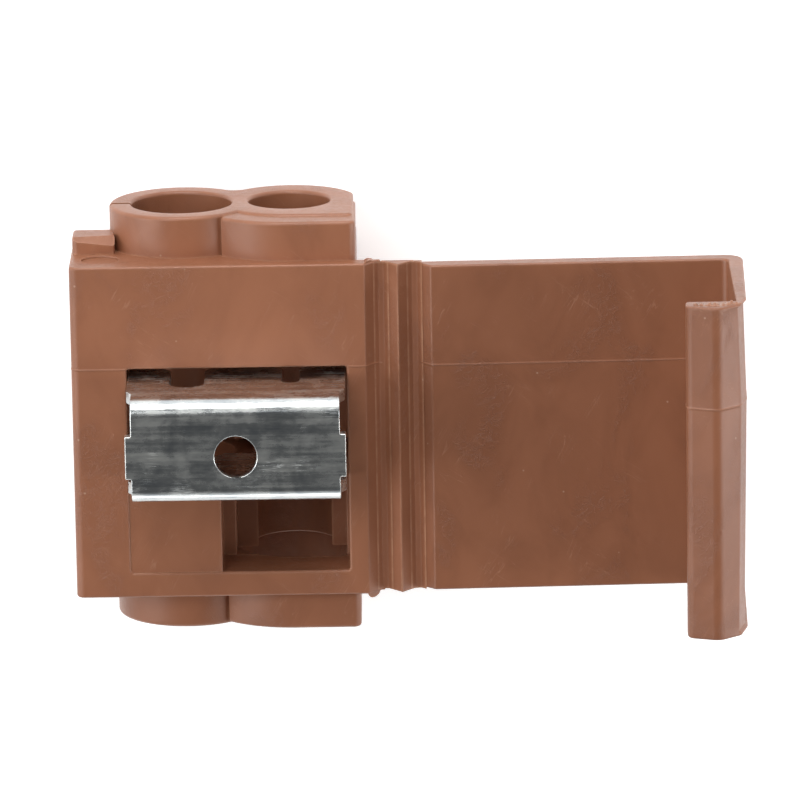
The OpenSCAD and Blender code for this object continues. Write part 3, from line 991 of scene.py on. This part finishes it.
@dataclass
class SnapCover:
    """Leaning panel, side wall and hook as one section carried along Y."""

    finish: MouldedPlastic
    fold_x: float = 15.065
    back_z: float = 10.7
    groove_z: float = 11.0
    front_x: float = 16.125
    front_z: float = 11.95
    side_in_x: float = 35.255
    side_out_x: float = 36.255
    side_taper: float = 0.32
    root_z: float = 11.282
    corner_z: float = 9.96
    catch_z: float = 23.195
    hook_x: float = 32.055
    tip_z: float = 25.295
    half_length: float = 10.8
    rim: float = 0.16
    draft: float = 0.2

    def build(self) -> list[bpy.types.Object]:
        """Builds the cover that stands for the node.

        The side wall's outer face is widest at the parting line and draws in by the draft towards
        both ends, and a fine bead runs round the section at the parting line.
        """
        outline = rounded_outline([
            (self.fold_x + 0.02, self.back_z, 0), (self.fold_x + 0.02, self.groove_z, 0),
            (self.fold_x + 0.2, self.groove_z, 0.06), (self.front_x, self.front_z, 0.2),
            (self.side_in_x, self.root_z, 0.45), (self.side_in_x, self.catch_z, 0.2),
            (self.hook_x, self.catch_z, 0.3), (self.hook_x, self.tip_z - 0.75, 0.6),
            (self.hook_x + 2, self.tip_z, 0.8), (self.side_out_x - 0.75, self.tip_z - 1.25, 0.6),
            (self.side_out_x - self.side_taper, self.catch_z - 0.9, 0.8), (self.side_out_x, self.corner_z, 1.2)], 12)
        outline = outline[::-1]
        low, high = -self.half_length, self.half_length
        y = np.unique(np.concatenate([np.linspace(low + 2 * self.rim, high - 2 * self.rim, 41), BEAD_STATIONS]))
        outer = np.clip(outward(outline)[:, 0], 0, 1) * (outline[:, 0] > self.side_in_x)
        drawn = np.where(y > PARTING_Y, (y - PARTING_Y) / (high - PARTING_Y), (PARTING_Y - y) / (PARTING_Y - low))
        raised = np.where(outline[:, 0] > self.fold_x + 0.1, 1.0, 0.0)
        out = bead(y, 0.03)[:, None] * raised[None] - self.draft * drawn[:, None] * outer[None]
        share = np.where(outline[:, 0] < self.fold_x + 0.3, 0.45, 1.0)
        panel = sweep("snap_cover", outline, Way.Y, End(low, round=self.rim), End(high, round=self.rim), share,
                      (y, out), MM)
        vestige = self._vestige()
        material = self.finish.make()
        for piece in (panel, vestige):
            finish_shading(piece)
            dress(piece, material)
            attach(piece, "cover")
        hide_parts("cover")
        return [panel, vestige]

    def _vestige(self) -> bpy.types.Object:
        """The torn rest of the gate along the hook's end.

        A ridge follows the middle of the hook's section. At share u along it and angle v across it,
        the ridge stands h(u) * sin(v) proud and w(u) * cos(v) to the side, where h and w are sums of
        sines that make the torn edge uneven.
        """
        u, v = np.meshgrid(np.linspace(0, 1, 97), np.linspace(0, math.pi, 13), indexing="ij")
        fade = np.sqrt(np.clip(1 - (2 * u - 1) ** 6, 0, 1))
        height = 0.13 + 0.06 * np.sin(17 * u + 1) + 0.05 * np.sin(43 * u) + 0.04 * np.sin(71 * u + 2)
        height = np.maximum(height, 0.03) * fade + 0.02
        width = (0.3 + 0.1 * np.sin(11 * u + 2) + 0.05 * np.sin(37 * u)) * fade + 0.02
        x = self.hook_x + 0.45 + u * (self.side_out_x - self.hook_x - 1.1)
        z = self.tip_z - 1.15 + 0.35 * np.sin(math.pi * u) - 0.45 * u + width * np.cos(v)
        points = np.stack([x, self.half_length - 0.06 + height * np.sin(v), z], -1)
        faces = grid_faces(points.shape[0], points.shape[1], False)
        piece = put_mesh("gate_vestige", points.reshape(-1, 3), faces, MM)
        solid = piece.modifiers.new("thickness", "SOLIDIFY")
        solid.thickness = 0.02 * MM
        solid.offset = -1.0
        return piece


@dataclass
class BiteContact:
    """Folded contact: a copy of the node with its stamped edges rounded."""

    finish: TinnedStrip
    edge_radius: float = 0.07

    def build(self, node: bpy.types.Object) -> list[bpy.types.Object]:
        """Builds the piece that stands for the node.

        Args:
            node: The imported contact.

        Returns:
            The new piece.
        """
        strip = copy_of_node(node, "bite_contact")
        soften_edges(strip, self.edge_radius, 2)
        dress(strip, self.finish.make())
        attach(strip, "contact")
        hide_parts("contact")
        return [strip]


# ---------------------------------------------------------------- studio


@dataclass(frozen=True)
class SoftBox:
    """One area lamp: where it stands and what it points at, in millimetres."""

    name: str
    place: tuple[float, float, float]
    width: float
    height: float
    power: float
    aim: tuple[float, float, float] = (14.0, 1.0, 8.0)

    def build(self) -> None:
        """Makes the lamp."""
        data = bpy.data.lights.new(self.name, "AREA")
        data.shape = "RECTANGLE"
        data.size, data.size_y = self.width * MM, self.height * MM
        data.energy = self.power
        lamp = bpy.data.objects.new(self.name, data)
        lamp.location = Vector(self.place) * MM
        lamp.rotation_mode = "QUATERNION"
        lamp.rotation_quaternion = (Vector(self.aim) * MM - lamp.location).to_track_quat("-Z", "Y")
        bpy.context.scene.collection.objects.link(lamp)


@dataclass
class Studio:
    """Pale floor, white surroundings, soft lamps and the photograph's camera."""

    elevation: float = 13.9
    yaw: float = 0.17
    roll: float = -0.924
    aim: tuple[float, float, float] = (14.026, 1.947, 12.0)
    distance: float = 490.2
    focal_px: float = 7600.0
    world_light: float = 0.12

    def build(self) -> None:
        """Makes everything that isn't the object."""
        self._floor()
        self._world()
        self._camera()
        for box in (
            SoftBox("top softbox", (10, 440, 190), 420, 220, 1.9),
            SoftBox("left softbox", (-430, 20, 300), 260, 420, 1.6),
            SoftBox("right softbox", (455, -20, 180), 140, 420, 1.5),
            SoftBox("front softbox", (-170, 230, 470), 200, 200, 0.72),
            SoftBox("low softbox", (20, -460, 130), 420, 140, 0.4),
        ):
            box.build()

    def _floor(self) -> None:
        """A wide plane, white to the camera and to reflections, that keeps the object's shadow."""
        reach, level = 900.0, -0.02
        floor = put_mesh("floor", np.array([[-reach, -reach, level], [reach, -reach, level], [reach, reach, level],
                                            [-reach, reach, level]]), [[0, 1, 2, 3]])
        material, shader, place = new_material("floor paper")
        tree = material.node_tree
        grain = add_node(tree, "ShaderNodeTexNoise", Vector=place, Scale=40.0, Detail=2.0)
        tint = spread(tree, grain.outputs["Fac"], 0.3, 0.7, 0.0, 1.0)
        tree.links.new(blend_colours(tree, tint, (0.86, 0.86, 0.86), (0.88, 0.88, 0.88)), shader.inputs["Base Color"])
        shader.inputs["Roughness"].default_value = 0.9
        shader.inputs["Specular IOR Level"].default_value = 0.1
        strength = maths(tree, "MULTIPLY", seen_rays(tree), 0.5)
        glow = add_node(tree, "ShaderNodeEmission", Color=(1, 1, 1, 1), Strength=strength)
        both = add_node(tree, "ShaderNodeAddShader", i0=shader.outputs[0], i1=glow.outputs[0])
        tree.links.new(both.outputs[0], tree.nodes["Material Output"].inputs["Surface"])
        dress(floor, material)

    def _world(self) -> None:
        """Even light from all round; camera, glossy and clear rays see a white backdrop with a dim ceiling.

        The backdrop's share is 1 up to 27 degrees above the horizon and falls to 0 at 53 degrees, by the
        height of the unit direction: its z runs from 0.45 to 0.8 there.
        """
        world = bpy.data.worlds.new("studio")
        bpy.context.scene.world = world
        world.use_nodes = True
        tree = world.node_tree
        way = add_node(tree, "ShaderNodeTexCoord").outputs["Generated"]
        height = add_node(tree, "ShaderNodeSeparateXYZ", Vector=way).outputs["Z"]
        backdrop = maths(tree, "MULTIPLY", seen_rays(tree), spread(tree, height, 0.45, 0.8, 1.0, 0.0))
        strength = maths(tree, "ADD", self.world_light, maths(tree, "MULTIPLY", backdrop, 1.0 - self.world_light))
        background = tree.nodes["Background"]
        background.inputs["Color"].default_value = (1, 1, 1, 1)
        tree.links.new(strength, background.inputs["Strength"])

    def _camera(self) -> None:
        """The photograph's camera: far off, over the end with the dimple, looking down."""
        e, w, k = (math.radians(v) for v in (self.elevation, self.yaw, self.roll))
        forward = Matrix.Rotation(w, 3, "Y") @ Vector((0.0, -math.sin(e), -math.cos(e)))
        right = forward.cross(Vector((0, 1, 0))).normalized()
        up = right.cross(forward)
        right, up = math.cos(k) * right + math.sin(k) * up, -math.sin(k) * right + math.cos(k) * up
        data = bpy.data.cameras.new("camera")
        data.sensor_width = 36.0
        data.lens = self.focal_px / 800 * 36.0
        data.clip_start, data.clip_end = 0.05, 5.0
        camera = bpy.data.objects.new("camera", data)
        turn = Matrix((right, up, -forward)).transposed()
        camera.matrix_world = Matrix.Translation((Vector(self.aim) - forward * self.distance) * MM) @ turn.to_4x4()
        bpy.context.scene.collection.objects.link(camera)
        bpy.context.scene.camera = camera


def main() -> None:
    """Builds the studio and the tap."""
    logging.basicConfig(level=logging.INFO, format="%(name)s: %(message)s")
    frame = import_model()
    scene = bpy.context.scene
    scene.view_settings.view_transform = "Standard"
    effects = Effects()
    Studio().build()
    pieces = Housing(MouldedPlastic("housing plastic", effects), Channels(), Window()).build()
    pieces += LivingHinge(MouldedPlastic("hinge plastic", effects, Wear.FLEXED)).build()
    # The cover gets a darker copy of the housing's colours: painted shade for the side wall's shadow over the panel and
    # hook.
    pieces += SnapCover(MouldedPlastic("cover plastic darkened as painted shade", effects, body=linear(138, 89, 64),
                                       dark=linear(123, 77, 54))).build()
    pieces += BiteContact(TinnedStrip("tin plate", effects)).build(frame["nodes"]["contact"])
    for piece in pieces:
        log.info("%s: %d corners", piece.name, len(piece.data.vertices))


if __name__ == "__main__":
    main()
